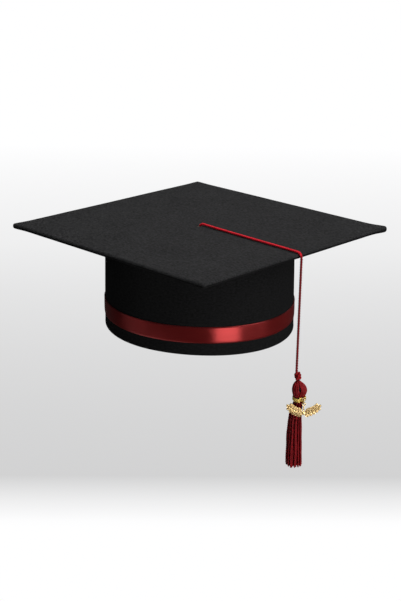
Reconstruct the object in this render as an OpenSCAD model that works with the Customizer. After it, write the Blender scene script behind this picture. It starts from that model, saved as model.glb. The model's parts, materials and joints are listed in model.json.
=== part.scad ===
// Graduation cap: a fabric-covered square board on a stiffened round crown, with a
// ribbon round the crown, a cord from the middle of the board and a tassel with a charm.
// Millimetres. The origin is the middle of the rim, +Z up, and the wearer looks along -Y.

/* [Board] */
// Side of the square board, over its cover
board_side = 240; // [200:1:260]
// Thickness of the board, over both covers
board_t = 4.5; // [3.5:0.1:8]
// Thickness of each fabric cover of the board
cover_t = 0.75; // [0.5:0.05:1.2]

/* [Crown] */
// Outer radius of the crown
crown_r = 87; // [80:0.5:95]
// Height of the crown from the rim to the underside of the board
crown_h = 87.5; // [70:0.5:100]
// Thickness of the outer fabric
fabric_t = 1.2; // [0.6:0.1:2]
// Thickness of the buckram stiffener
buckram_t = 0.9; // [0.5:0.1:1.5]
// Thickness of the lining, which the hem and the elastic share
lining_t = 0.5; // [0.3:0.1:0.8]
// Thickness of the sweatband
sweatband_t = 0.9; // [0.5:0.1:1.5]
// Height of the sweatband's upper edge above the rim
sweatband_top = 30; // [20:1:40]
// Height of the hem turned up inside the rim
hem_h = 10; // [6:1:14]
// Height of the elastic cased behind the sweatband
elastic_h = 16; // [10:1:17]
// Half of the angle that the elastic spans at the back
elastic_half_angle = 40; // [20:5:70]

/* [Ribbon] */
// Height of the ribbon's lower edge above the rim
ribbon_z = 11.6; // [5:0.1:30]
// Width of the ribbon
ribbon_w = 14.8; // [8:0.1:30]
// Thickness of the ribbon
ribbon_t = 0.6; // [0.3:0.1:0.8]
// Half of the angle that the ribbon's folded end laps over at the back
lap_half_angle = 7; // [4:1:12]
// Spacing of the stitches along the ribbon's upper edge
stitch_pitch = 2; // [2:0.5:6]

/* [Cord and tassel] */
// Diameter of the twisted cord
cord_d = 2.3; // [1.5:0.1:2.4]
// Direction that the cord takes across the board, from +X
cord_azimuth = -46.5; // [-50:0.5:-40]
// Radius of the tassel's bulb
bulb_r = 6.6; // [5:0.1:8]
// How far the bulb sits to the side of the cord's plumb line
bulb_shift = 3.1; // [0:0.1:4]
// How far the gold wrap sits to the side of the cord's plumb line
wrap_shift = 3.3; // [0:0.1:5]
// Radius of the wire in the gold wrap
wrap_wire_r = 0.8; // [0.6:0.1:1.2]
// Radius of the skirt at its lower end
skirt_end_r = 7.7; // [5:0.1:9]
// Length of the charm
charm_w = 29.4; // [20:0.1:34]
// Thickness of the charm
charm_t = 1.2; // [0.8:0.1:1.4]

/* [Hidden] */
$fn = 96;

// The layers of the crown wall, from the outside in
buckram_r = crown_r - fabric_t;
lining_r = buckram_r - buckram_t;
sweatband_r = lining_r - lining_t;
head_r = sweatband_r - sweatband_t;
ribbon_r = crown_r + ribbon_t;

board_z = crown_h;
tip_t = 0.8;
tip_z = crown_h - tip_t;
washer_t = 1;
washer_z = tip_z - washer_t;
hem_t = 1;
lining_z = hem_h + elastic_h + 2;

// The hole for the cord, through the board, the tip and the washer, with room for its bend
cord_hole_r = cord_d / 2 + 1.5;

// The cord's route in its own upright plane: distance from the board's middle, and height.
// It comes up through the hole, crosses the board, turns over its edge and hangs.
cord_route = [
    [0, 85.4], [0, 87.6], [0, 89.5], [0.3, 91], [1.2, 92.5], [2.4, 93.3], [4, 93.6],
    [8, 93.6], [16, 93.4], [30, 93.3], [60, 93.3], [90, 93.3], [110, 93.3],
    [117.2, 93.3], [119.2, 93], [120.8, 91.9], [121.8, 90.2], [122.2, 88.2],
    [122.2, 84], [122.2, 60], [122.2, 30], [122.2, 8], [122.2, -6], [122.2, -14.8]
];
// The route's point where the part across the board ends and the hanging part starts
edge_point = 15;
ring_step = 5;
cord_sides = 8;

// The tassel hangs on the cord's plumb line, which the route's last point is on
plumb = cord_route[len(cord_route) - 1][0];
knot_top = -15;
knot_h = 7.5;
knot_r = 3.5;
knot_shift = 1.3;
bulb_top = knot_top - knot_h - 0.3;
bulb_h = 14.2;
wrap_turns = 3;
wrap_r = 5;
wrap_top = bulb_top - bulb_h;
wrap_h = 2 * wrap_wire_r * wrap_turns;
skirt_top = wrap_top - wrap_h - 0.05;
skirt_bottom = -103.8;

// The eye on the wrap, the jump ring in it, and the charm's own loop
eye_wire_r = 0.4;
eye_r = 1.5;
// Where the eye is from the middle of the wrap: in front and to the right
eye_x = 3.4;
eye_y = -6.3;
eye_z = wrap_top - wrap_wire_r;
eye_stalk = norm([eye_x, eye_y]) - eye_r - wrap_r + 0.2;
ring_wire_r = 0.4;
ring_r = 2.2;
ring_y = eye_y - eye_r;
ring_z = eye_z - (ring_r - ring_wire_r - eye_wire_r - 0.05);
loop_hole_r = 1;
loop_r = 1.8;
loop_z = ring_z - ring_r - (loop_hole_r - ring_wire_r - 0.15);

// The charm's boughs: the radius of their bend, how far they hang and their stem's width
bough_r = 17;
bough_depth = 8.8;
stem_w = 0.9;

// ---- Shapes that several sub-parts share

module tube(r_out, r_in, z0, z1) {
    translate([0, 0, z0])
        difference() {
            cylinder(r = r_out, h = z1 - z0);
            translate([0, 0, -1])
                cylinder(r = r_in, h = z1 - z0 + 2);
        }
}

// The stretch of a tube within half_angle of the back
module back_arc(r_out, r_in, z0, z1, half_angle) {
    reach = r_out + 5;
    intersection() {
        tube(r_out, r_in, z0, z1);
        translate([0, 0, z0 - 1])
            linear_extrude(z1 - z0 + 2)
                polygon([
                    [0, 0],
                    [-reach * tan(half_angle), reach],
                    [reach * tan(half_angle), reach]
                ]);
    }
}

// A square plate with round edges, its corners on the X and Y axes
module round_plate(side, t) {
    flat = side - t;
    rotate([0, 0, 45]) {
        translate([-flat / 2, -flat / 2, -t / 2])
            cube([flat, flat, t]);
        for (turn = [0 : 90 : 270])
            rotate([0, 0, turn])
                translate([flat / 2, flat / 2, 0]) {
                    sphere(d = t, $fn = 32);
                    rotate([90, 0, 0])
                        cylinder(d = t, h = flat, $fn = 32);
                }
    }
}

module board_at_height() {
    translate([0, 0, board_z + board_t / 2])
        children();
}

module cord_hole() {
    translate([0, 0, -board_t])
        cylinder(r = cord_hole_r, h = 2 * board_t);
}

// One half of the board's cover: up is 1 for the upper half and -1 for the lower one
module cover_half(up) {
    board_at_height()
        difference() {
            round_plate(board_side, board_t);
            round_plate(board_side - 2 * cover_t, board_t - 2 * cover_t);
            translate([0, 0, -up * board_side / 2])
                cube([2 * board_side, 2 * board_side, board_side], center = true);
            cord_hole();
        }
}

// A row of short stitches round the crown, from one angle to another
module stitch_row(r, z, from, to, pitch, size) {
    count = floor((to - from) / 360 * 2 * PI * r / pitch);
    for (i = [0 : count - 1])
        rotate([0, 0, from + (i + 0.5) * (to - from) / count])
            translate([0, r, z])
                translate([-size[1] / 2, 0, -size[2] / 2])
                    cube([size[1], size[0], size[2]]);
}

// ---- A tube swept along a route in the X-Z plane

function parts_of(a, b) = max(1, ceil(norm(b - a) / ring_step));

// The route's stretch from point i on, with rings no further apart than ring_step
function with_rings(route, from, to) = concat(
    [for (i = [from : to - 1], j = [0 : parts_of(route[i], route[i + 1]) - 1])
        route[i] + (route[i + 1] - route[i]) * j / parts_of(route[i], route[i + 1])],
    [route[to]]
);

function unit(v) = v / norm(v);

// The direction of the route at its point i
function heading(p, i) = unit(p[min(i + 1, len(p) - 1)] - p[max(i - 1, 0)]);

function ring_of(centre, dir, r) = [
    for (k = [0 : cord_sides - 1])
        let (a = 360 * (k + 0.5) / cord_sides)
            [centre[0] - dir[1] * r * cos(a), r * sin(a), centre[1] + dir[0] * r * cos(a)]
];

// Start and end give the directions of the two end faces
module swept_tube(points, r, start, end) {
    last = len(points) - 1;
    n = cord_sides;
    rings = [
        for (i = [0 : last])
            ring_of(points[i], i == 0 ? start : i == last ? end : heading(points, i), r)
    ];
    sides = [
        for (i = [0 : last - 1], k = [0 : n - 1])
            [i * n + k, i * n + (k + 1) % n, (i + 1) * n + (k + 1) % n, (i + 1) * n + k]
    ];
    polyhedron(
        [for (ring = rings, p = ring) p],
        concat([[for (k = [n - 1 : -1 : 0]) k]], sides, [[for (k = [0 : n - 1]) last * n + k]]),
        convexity = 4
    );
}

module in_cord_plane() {
    rotate([0, 0, cord_azimuth])
        children();
}

// Puts its children on the plumb line, turned to face as the cap does
module on_plumb_line() {
    in_cord_plane()
        translate([plumb, 0, 0])
            rotate([0, 0, -cord_azimuth])
                children();
}

// A round, slightly squared lump from z = 0 down to -h, with a flat of radius neck at each end
module lump(r, h, neck) {
    steps = 9;
    profile = [
        for (i = [0 : steps])
            let (a = -90 + 180 * i / steps, c = pow(cos(a), 0.8))
                [neck + (r - neck) * c, -h / 2 - h / 2 * sin(a)]
    ];
    rotate_extrude($fn = 48)
        polygon(concat([[0, 0]], profile, [[0, -h]]));
}

module ring(r, wire_r, fn = 48) {
    rotate_extrude($fn = fn)
        translate([r, 0])
            circle(r = wire_r, $fn = 24);
}

// ---- The board

module board_core() {
    color("tan")
        board_at_height()
            difference() {
                round_plate(board_side - 2 * cover_t, board_t - 2 * cover_t);
                cord_hole();
            }
}

module board_top_cover() {
    color([0.18, 0.18, 0.18])
        cover_half(1);
}

module board_bottom_cover() {
    color([0.1, 0.1, 0.1])
        cover_half(-1);
}

// ---- The crown

module crown_wall() {
    color([0.08, 0.08, 0.08])
        tube(crown_r, buckram_r, 0, crown_h);
}

module crown_stiffener() {
    color("beige")
        tube(buckram_r, lining_r, hem_t, crown_h);
}

module crown_lining() {
    color([0.12, 0.12, 0.14])
        tube(lining_r, sweatband_r, lining_z, tip_z);
}

module crown_tip() {
    color([0.12, 0.12, 0.14])
        tube(lining_r, cord_hole_r, tip_z, crown_h);
}

module crown_seam_stitches() {
    color([0.05, 0.05, 0.05])
        stitch_row(crown_r, crown_h - 0.45, 3, 357, 6, [0.3, 2.2, 0.8]);
}

// The seam down the back of the crown, which the ribbon crosses
module back_seam() {
    half_angle = 1.4;
    color([0.06, 0.06, 0.06]) {
        back_arc(crown_r + 0.5, crown_r, 0.5, ribbon_z, half_angle);
        back_arc(crown_r + 0.5, crown_r, ribbon_z + ribbon_w, crown_h - 1, half_angle);
    }
}

// The crown's fabric turned up inside the rim, under the buckram
module rim_hem() {
    color([0.07, 0.07, 0.07]) {
        tube(buckram_r, sweatband_r, 0, hem_t);
        tube(lining_r, sweatband_r, hem_t, hem_h);
    }
}

module sweatband() {
    color([0.2, 0.2, 0.2])
        tube(sweatband_r, head_r, 0, sweatband_top);
}

module elastic_band() {
    color("dimgray")
        back_arc(lining_r, sweatband_r, hem_h + 1, hem_h + 1 + elastic_h, elastic_half_angle);
}

// ---- The ribbon

module ribbon_band() {
    color([0.72, 0.14, 0.16])
        tube(ribbon_r, crown_r, ribbon_z, ribbon_z + ribbon_w);
}

module ribbon_lap() {
    color([0.6, 0.1, 0.12])
        back_arc(ribbon_r + ribbon_t, ribbon_r, ribbon_z, ribbon_z + ribbon_w, lap_half_angle);
}

module ribbon_stitches() {
    stitch = [0.25, 1.2, 0.5];
    color([0.35, 0.05, 0.07])
        stitch_row(
            ribbon_r, ribbon_z + ribbon_w - 0.7,
            lap_half_angle + 1, 360 - lap_half_angle - 1, stitch_pitch, stitch
        );
}

// ---- The cord and what holds it

module anchor_washer() {
    color("white")
        tube(9, cord_hole_r, washer_z, tip_z);
}

module anchor_knot() {
    color([0.6, 0.05, 0.12])
        translate([0, 0, cord_route[0][1]])
            lump(3.4, 5.6, 1.2);
}

edge_heading = heading(cord_route, edge_point);

module cord_lead() {
    color([0.78, 0.1, 0.2])
        in_cord_plane()
            swept_tube(with_rings(cord_route, 0, edge_point), cord_d / 2, [0, 1], edge_heading);
}

module cord_drop() {
    end = len(cord_route) - 1;
    color([0.5, 0, 0.1])
        in_cord_plane()
            swept_tube(with_rings(cord_route, edge_point, end), cord_d / 2, edge_heading, [0, -1]);
}

// ---- The tassel

module cord_knot() {
    color([0.5, 0, 0.1])
        on_plumb_line()
            translate([knot_shift, 0, knot_top])
                lump(knot_r, knot_h, 1.2);
}

module tassel_bulb() {
    color([0.45, 0.03, 0.1])
        on_plumb_line()
            translate([bulb_shift, 0, bulb_top])
                lump(bulb_r, bulb_h, 3);
}

// The thread wound round the neck, under the gold wrap
module neck_tie() {
    color([0.4, 0.03, 0.1])
        on_plumb_line()
            translate([wrap_shift, 0, wrap_top - wrap_h])
                cylinder(r = wrap_r - wrap_wire_r - 0.05, h = wrap_h - 0.05, $fn = 48);
}

// Three turns of gold cord, and the eye at the front that the jump ring hangs from
module gold_wrap() {
    color("gold")
        on_plumb_line()
            translate([wrap_shift, 0, 0]) {
                for (turn = [0 : wrap_turns - 1])
                    translate([0, 0, wrap_top - wrap_wire_r * (2 * turn + 1)])
                        ring(wrap_r, wrap_wire_r);
                translate([eye_x, eye_y, eye_z])
                    ring(eye_r, eye_wire_r, 32);
                translate([0, 0, eye_z])
                    rotate([90, 0, atan2(eye_x, -eye_y)])
                        translate([0, 0, wrap_r])
                            cylinder(r = eye_wire_r, h = eye_stalk, $fn = 24);
            }
}

// The outline of the skirt: how far down it a ring lies, its radius and its sideways shift
skirt_rings = [
    [0, 4.6, wrap_shift], [0.06, 4.9, 2.4], [0.12, 5.3, 1.3], [0.2, 5.8, 0.6],
    [0.35, 6.5, 0.4], [0.5, 7.1, 0.5], [0.65, 7.4, 0.6], [0.8, 7.6, 0.7], [1, skirt_end_r, 0.9]
];

module tassel_skirt() {
    sides = 20;
    n = len(skirt_rings);
    points = [
        for (s = skirt_rings, k = [0 : sides - 1])
            let (a = 360 * k / sides)
                [
                    s[2] + s[1] * cos(a), s[1] * sin(a),
                    skirt_top + (skirt_bottom - skirt_top) * s[0]
                ]
    ];
    walls = [
        for (i = [0 : n - 2], k = [0 : sides - 1])
            [i * sides + k, i * sides + (k + 1) % sides,
             (i + 1) * sides + (k + 1) % sides, (i + 1) * sides + k]
    ];
    color([0.42, 0.03, 0.09])
        on_plumb_line()
            polyhedron(
                points,
                concat(
                    [[for (k = [sides - 1 : -1 : 0]) k]], walls,
                    [[for (k = [0 : sides - 1]) (n - 1) * sides + k]]
                )
            );
}

// ---- The charm

module jump_ring() {
    color("gold")
        on_plumb_line()
            translate([wrap_shift + eye_x, ring_y, ring_z])
                rotate([0, 90, 0])
                    ring(ring_r, ring_wire_r);
}

// A pointed leaf along +X, between two arcs
module leaf(length, width) {
    r = (length * length + width * width) / (4 * width);
    intersection() {
        translate([length / 2, r - width / 2])
            circle(r = r);
        translate([length / 2, width / 2 - r])
            circle(r = r);
    }
}

// One bough of laurel: a curved stem from the middle out to the right, with leaves both sides
module bough() {
    tip_leaf = 4;
    sweep = asin((charm_w / 2 - 2.2) / bough_r);
    pairs = 5;
    translate([0, bough_r - bough_depth]) {
        difference() {
            circle(r = bough_r + stem_w / 2);
            circle(r = bough_r - stem_w / 2);
            translate([-2 * bough_r, -2 * bough_r])
                square([2 * bough_r, 4 * bough_r]);
            rotate(sweep - 90)
                square(2 * bough_r);
            translate([-bough_r, 0])
                square([3 * bough_r, 2 * bough_r]);
        }
        for (i = [0 : pairs - 1], side = [-1, 1])
            let (a = sweep * (i + 0.45) / pairs)
                rotate(a)
                    translate([-0.3, -bough_r])
                        rotate(side * 50)
                            leaf(side > 0 ? 6.6 - 0.35 * i : 4.6 - 0.25 * i, 2.8);
        rotate(sweep)
            translate([-0.5, -bough_r])
                leaf(tip_leaf, 2.2);
    }
}

module charm_outline() {
    bar = 1.6;
    foot = -bough_depth;
    difference() {
        union() {
            circle(r = loop_r, $fn = 48);
            translate([-bar / 2, foot])
                square([bar, -foot - loop_hole_r]);
            bough();
            mirror([1, 0])
                bough();
            translate([0, foot])
                circle(r = 1.5, $fn = 48);
        }
        circle(r = loop_hole_r, $fn = 48);
    }
}

module charm() {
    color("gold")
        on_plumb_line()
            translate([wrap_shift + eye_x, ring_y + charm_t / 2, loop_z])
                rotate([90, 0, 0])
                    linear_extrude(charm_t)
                        charm_outline();
}

board_core();
board_top_cover();
board_bottom_cover();
crown_wall();
crown_stiffener();
crown_lining();
crown_tip();
crown_seam_stitches();
back_seam();
rim_hem();
sweatband();
elastic_band();
ribbon_band();
ribbon_lap();
ribbon_stitches();
anchor_washer();
anchor_knot();
cord_lead();
cord_drop();
cord_knot();
tassel_bulb();
neck_tie();
gold_wrap();
tassel_skirt();
jump_ring();
charm();
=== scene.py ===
import json
import math
import random

import bmesh
import bpy
import numpy as np
from mathutils import Matrix, Vector, noise


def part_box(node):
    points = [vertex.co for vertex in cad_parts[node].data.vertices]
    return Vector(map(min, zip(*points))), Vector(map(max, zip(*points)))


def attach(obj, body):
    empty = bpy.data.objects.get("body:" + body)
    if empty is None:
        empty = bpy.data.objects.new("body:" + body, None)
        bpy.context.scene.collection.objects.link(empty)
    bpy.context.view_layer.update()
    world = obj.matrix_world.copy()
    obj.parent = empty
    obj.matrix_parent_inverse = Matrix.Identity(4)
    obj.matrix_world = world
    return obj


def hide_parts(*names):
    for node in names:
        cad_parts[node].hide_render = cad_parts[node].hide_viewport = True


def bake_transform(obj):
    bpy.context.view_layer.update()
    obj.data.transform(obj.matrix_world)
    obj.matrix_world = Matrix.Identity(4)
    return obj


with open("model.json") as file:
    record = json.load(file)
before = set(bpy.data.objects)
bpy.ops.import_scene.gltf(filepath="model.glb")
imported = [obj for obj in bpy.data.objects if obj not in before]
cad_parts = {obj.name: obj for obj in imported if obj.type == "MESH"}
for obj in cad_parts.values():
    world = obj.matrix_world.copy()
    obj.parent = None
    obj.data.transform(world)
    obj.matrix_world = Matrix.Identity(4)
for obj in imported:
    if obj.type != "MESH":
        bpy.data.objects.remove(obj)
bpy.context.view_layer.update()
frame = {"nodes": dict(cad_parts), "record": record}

MM = 0.001
TAU = 2 * math.pi

# ---- Places and sizes, from the CAD frame

BOARD_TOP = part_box("board_top_cover")[1].z
SEAM_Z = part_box("board_top_cover")[0].z
EDGE_R = BOARD_TOP - SEAM_Z
CORNER_R = 0.3 * MM
# The board's corners are rounded, so its side follows from where a corner ends
SIDE_IN = (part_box("board_top_cover")[1].x - EDGE_R) / math.sqrt(2) - CORNER_R
CROWN_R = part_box("crown_wall")[1].x
CROWN_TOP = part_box("crown_wall")[1].z
BUCKRAM_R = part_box("crown_stiffener")[1].x
LINING_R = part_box("crown_lining")[1].x
BAND_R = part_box("sweatband")[1].x
HEM_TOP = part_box("rim_hem")[1].z
RIBBON_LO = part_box("ribbon_band")[0].z
RIBBON_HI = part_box("ribbon_band")[1].z
RIBBON_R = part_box("ribbon_band")[1].x
LAP_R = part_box("ribbon_lap")[1].y
BACK = math.radians(90)

CORD_D = 2.3 * MM
CORD_TURN = math.radians(-46.5)
# The cord's route, as in the CAD source: distance from the board's middle, and height, in mm
ROUTE = [
    (0, 85.4), (0, 87.6), (0, 89.5), (0.3, 91), (1.2, 92.5), (2.4, 93.3), (4, 93.6),
    (8, 93.6), (16, 93.4), (30, 93.3), (60, 93.3), (90, 93.3), (110, 93.3),
    (117.2, 93.3), (119.2, 93), (120.8, 91.9), (121.8, 90.2), (122.2, 88.2),
    (122.2, 84), (122.2, 60), (122.2, 30), (122.2, 8), (122.2, -6), (122.2, -14.8),
]


def on_route(point):
    """A point of the cord's upright plane, given in mm, in the frame and in metres."""
    out, up = point
    return Vector((out * math.cos(CORD_TURN), out * math.sin(CORD_TURN), up)) * MM


PLUMB = on_route(ROUTE[-1])

# ---- Camera


def make_camera():
    position, aim = Vector((-0.02042, -1.04942, 0.38797)), Vector((0.00138, 0, 0.01934))
    roll = math.radians(0.825)
    ahead = (aim - position).normalized()
    level = ahead.cross(Vector((0, 0, 1))).normalized()
    upright = level.cross(ahead)
    right = level * math.cos(roll) + upright * math.sin(roll)
    up = upright * math.cos(roll) - level * math.sin(roll)
    data = bpy.data.cameras.new("camera")
    data.lens, data.sensor_width = 71.68, 36
    cam = bpy.data.objects.new("camera", data)
    bpy.context.scene.collection.objects.link(cam)
    cam.rotation_mode = "QUATERNION"
    cam.location = position
    cam.rotation_quaternion = Matrix((right, up, -ahead)).transposed().to_quaternion()
    bpy.context.scene.camera = cam


make_camera()

# ---- Node materials


class Paint:
    """A node material: each call adds one node, and sockets are linked or set by name."""

    def __init__(self, name, **shader):
        self.material = bpy.data.materials.new(name)
        self.material.use_nodes = True
        self.tree = self.material.node_tree
        self.shader = self.tree.nodes["Principled BSDF"]
        for key, value in shader.items():
            self.shader.inputs[key.replace("_", " ")].default_value = value

    def add(self, kind, sockets=None, **settings):
        node = self.tree.nodes.new("ShaderNode" + kind)
        for key, value in settings.items():
            setattr(node, key, value)
        for key, value in (sockets or {}).items():
            self.put(node.inputs[key], value)
        return node

    def put(self, socket, value):
        if isinstance(value, bpy.types.NodeSocket):
            self.tree.links.new(value, socket)
        else:
            socket.default_value = value

    def math(self, operation, a, b=0.0, c=0.0):
        return self.add("Math", {0: a, 1: b, 2: c}, operation=operation).outputs[0]

    def place(self, turn=0.0):
        """The three coordinates of the object, in metres, turned about Z."""
        at = self.add("TexCoord").outputs["Object"]
        if turn:
            at = self.add("Mapping", {"Vector": at, "Rotation": (0, 0, turn)}).outputs[0]
        return at, self.add("SeparateXYZ", {0: at}).outputs

    def noise(self, at, scale, detail=3.0, rough=0.5):
        sockets = {"Vector": at, "Scale": scale, "Detail": detail, "Roughness": rough}
        return self.add("TexNoise", sockets).outputs[0]

    def stretched(self, at, scale):
        return self.add("Mapping", {"Vector": at, "Scale": scale}).outputs[0]

    def blend(self, share, dark, light):
        """Two colours mixed by a share from 0 to 1."""
        ramp = self.add("ValToRGB", {0: share})
        ramp.color_ramp.elements[0].color = (*dark, 1)
        ramp.color_ramp.elements[1].color = (*light, 1)
        return ramp.outputs[0]

    def colour(self, value):
        self.put(self.shader.inputs["Base Color"], value)

    def bumps(self, *layers):
        """Layers of (height, strength, distance in metres), the last one on top."""
        normal = None
        for height, strength, distance in layers:
            sockets = {"Height": height, "Strength": strength, "Distance": distance}
            node = self.add("Bump", sockets)
            if normal:
                self.put(node.inputs["Normal"], normal)
            normal = node.outputs[0]
        self.put(self.shader.inputs["Normal"], normal)

    def threads(self, u, v, pitch):
        """The height of a plain weave with that many metres from thread to thread."""
        k = math.pi / pitch
        a = self.math("SINE", self.math("MULTIPLY", u, k))
        b = self.math("SINE", self.math("MULTIPLY", v, k))
        return self.math("MULTIPLY_ADD", self.math("MULTIPLY", a, b), 0.5, 0.5)

    def around(self, sides, radius):
        """The distance round a cylinder about Z, in metres."""
        return self.math("MULTIPLY", self.math("ARCTAN2", sides[1], sides[0]), radius)


def cloth(name, dark, light, wrapped, pitch=0.5 * MM, rough=0.9, sheen=0.0):
    """Matt woven cloth. wrapped is a radius where it goes round the crown, or None."""
    p = Paint(name, Roughness=rough, Sheen_Weight=sheen, Sheen_Roughness=0.5,
              Specular_IOR_Level=0.04)
    at, sides = p.place(0 if wrapped else math.radians(45))
    u, v = (p.around(sides, wrapped), sides[2]) if wrapped else (sides[0], sides[1])
    weave = p.threads(u, v, pitch)
    depth = 0.0 if wrapped else sides[2]
    lay = p.add("CombineXYZ", {0: u, 1: v, 2: depth}).outputs[0]
    slub = p.noise(p.stretched(lay, (60, 2400, 2400)), 1, 2)
    slub_across = p.noise(p.stretched(lay, (2400, 60, 2400)), 1, 2)
    slubs = p.math("MULTIPLY", p.math("ADD", slub, slub_across), 0.5)
    patch = p.noise(at, 22, 4)
    fleck = p.noise(p.stretched(lay, (420, 700, 700)), 1, 2, 0.6)
    share = p.math("MULTIPLY_ADD", slubs, 0.4, p.math("MULTIPLY", patch, 0.25))
    share = p.math("ADD", share, p.math("MULTIPLY_ADD", fleck, 1.5, -0.65))
    share = p.math("MULTIPLY_ADD", weave, 0.15, p.math("SUBTRACT", share, 0.05))
    p.colour(p.blend(share, dark, light))
    p.bumps((patch, 0.25, 0.6 * MM), (slubs, 0.3, 0.2 * MM), (weave, 0.5, 0.12 * MM))
    return p.material


def satin(name, dark, light):
    """Ribbon with fine ribs along it, whose shine is drawn out up and down."""
    p = Paint(name, Metallic=0.68, Roughness=0.31, Anisotropic=0.95,
              Anisotropic_Rotation=0.25, Specular_IOR_Level=0.3)
    p.put(p.shader.inputs["Tangent"],
          p.add("Tangent", direction_type="RADIAL", axis="Z").outputs[0])
    _, sides = p.place()
    u = p.around(sides, RIBBON_R)
    lay = p.add("CombineXYZ", {0: u, 1: sides[2], 2: 0.0}).outputs[0]
    rib = p.noise(p.stretched(lay, (40, 3000, 1)), 1, 3)
    moire = p.noise(p.stretched(lay, (35, 160, 1)), 1, 3)
    p.colour(p.blend(p.math("MULTIPLY_ADD", rib, 0.5, p.math("MULTIPLY", moire, 0.5)), dark, light))
    p.bumps((moire, 0.25, 0.5 * MM), (rib, 0.35, 0.12 * MM))
    return p.material


def yarn(name, dark, light, fibres=9, slant=900, rough=0.6, sheen=0.03, painted_top_light=None, **more):
    """Twisted yarn: fibres lie at a slant along each strand's own UV lay. The last colour, if given,
    is painted light: the yarn is painted lighter where it lies on top of the board, where the light
    from above falls."""
    p = Paint(name, Roughness=rough, Sheen_Weight=sheen, Sheen_Roughness=0.35,
              Specular_IOR_Level=0.2, **more)
    lay = p.add("UVMap", uv_map="lay").outputs[0]
    u, v = p.add("SeparateXYZ", {0: lay}).outputs[:2]
    turn = p.math("MULTIPLY_ADD", u, fibres * TAU, p.math("MULTIPLY", v, slant))
    hair = p.math("MULTIPLY_ADD", p.math("SINE", turn), 0.5, 0.5)
    at, sides = p.place()
    patch = p.noise(at, 300, 3)
    share = p.math("MULTIPLY_ADD", hair, 0.45, p.math("MULTIPLY", patch, 0.6))
    tone = p.blend(share, dark, light)
    # Painted light: where the yarn lies on top of the board it is painted lighter, for the light from
    # above.
    if painted_top_light:
        height = p.math("SUBTRACT", sides[2], BOARD_TOP - 3 * MM)
        top_light_mask = p.add("Clamp", {0: p.math("DIVIDE", height, 3 * MM)}).outputs[0]
        mix = p.add("Mix", {0: top_light_mask, 6: tone, 7: p.blend(share, light, painted_top_light)}, data_type="RGBA")
        tone = mix.outputs[2]
    p.colour(tone)
    p.bumps((patch, 0.3, 0.15 * MM), (hair, 0.5, 0.06 * MM))
    return p.material


def metal(name, dark, light, rough):
    p = Paint(name, Metallic=0.7, Roughness=rough)
    at, _ = p.place()
    grain = p.noise(at, 900, 4)
    p.colour(p.blend(p.noise(at, 180, 3), dark, light))
    p.bumps((grain, 0.25, 0.05 * MM))
    return p.material


def glitter(name):
    """Small flakes set every way in a gold-pink ground."""
    p = Paint(name, Metallic=0.5, Roughness=0.35)
    at, _ = p.place()
    flakes = p.add("TexVoronoi", {"Vector": at, "Scale": 2600.0})
    tone = p.add("SeparateColor", {0: flakes.outputs["Color"]}).outputs
    p.colour(p.blend(tone[0], (0.36, 0.17, 0.05), (0.9, 0.68, 0.32)))
    p.bumps((tone[1], 1.0, 0.12 * MM))
    return p.material


def plastic(name, dark, light):
    p = Paint(name, Roughness=0.45)
    at, _ = p.place()
    grain = p.noise(at, 700, 4)
    p.colour(p.blend(grain, dark, light))
    p.bumps((grain, 0.2, 0.1 * MM))
    return p.material


def card(name):
    p = Paint(name, Roughness=0.95)
    at, _ = p.place()
    fibre = p.noise(p.stretched(at, (300, 900, 900)), 1, 5, 0.7)
    p.colour(p.blend(fibre, (0.36, 0.27, 0.17), (0.62, 0.52, 0.38)))
    p.bumps((fibre, 0.4, 0.2 * MM))
    return p.material


RED_DARK, RED_LIGHT = (0.015, 0.0, 0.0002), (0.35, 0.002, 0.007)

# The underside and crown cloths are darker copies of the board's top cloth: painted shade, for the
# less light that falls on them.
BOARD_CLOTH = cloth("board_cloth", (0.005, 0.005, 0.0052), (0.033, 0.033, 0.034), None)
SHADED_UNDER_CLOTH = cloth("under_cloth", (0.004, 0.004, 0.0041), (0.014, 0.014, 0.0144), None)
SHADED_CROWN_CLOTH = cloth("crown_cloth", (0.003, 0.003, 0.0031), (0.015, 0.015, 0.0154), CROWN_R)
LINING_CLOTH = cloth("lining_cloth", (0.012, 0.012, 0.014), (0.028, 0.028, 0.032), LINING_R,
                     0.25 * MM, 0.55, 0.15)
TIP_CLOTH = cloth("tip_cloth", (0.012, 0.012, 0.014), (0.028, 0.028, 0.032), None,
                  0.25 * MM, 0.55, 0.15)
BAND_CLOTH = cloth("band_cloth", (0.018, 0.018, 0.019), (0.05, 0.05, 0.052), BAND_R,
                   0.7 * MM, 0.95, 0.4)
ELASTIC = cloth("elastic_weave", (0.015, 0.015, 0.016), (0.05, 0.05, 0.052), LINING_R,
                1.1 * MM, 0.7, 0.1)
BUCKRAM = cloth("buckram_weave", (0.34, 0.32, 0.27), (0.62, 0.6, 0.53), BUCKRAM_R, 0.9 * MM)
SATIN = satin("satin", (0.17, 0.011, 0.012), (0.33, 0.028, 0.026))
SATIN_LAP = satin("satin_lap", (0.16, 0.01, 0.011), (0.31, 0.026, 0.024))
BLACK_THREAD = yarn("black_thread", (0.006, 0.006, 0.006), (0.02, 0.02, 0.02), 3, 4000)
RED_THREAD = yarn("red_thread", (0.04, 0.002, 0.003), (0.1, 0.005, 0.008), 3, 4000)
# The cord's last colour is a painted highlight where it lies on top of the board.
CORD_YARN = yarn("cord_yarn", (0.02, 0.0, 0.0003), (0.3, 0.001, 0.006), painted_top_light=(0.74, 0.003, 0.02))
KNOT_YARN = yarn("knot_yarn", (0.015, 0.0, 0.0002), (0.46, 0.002, 0.009))
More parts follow.
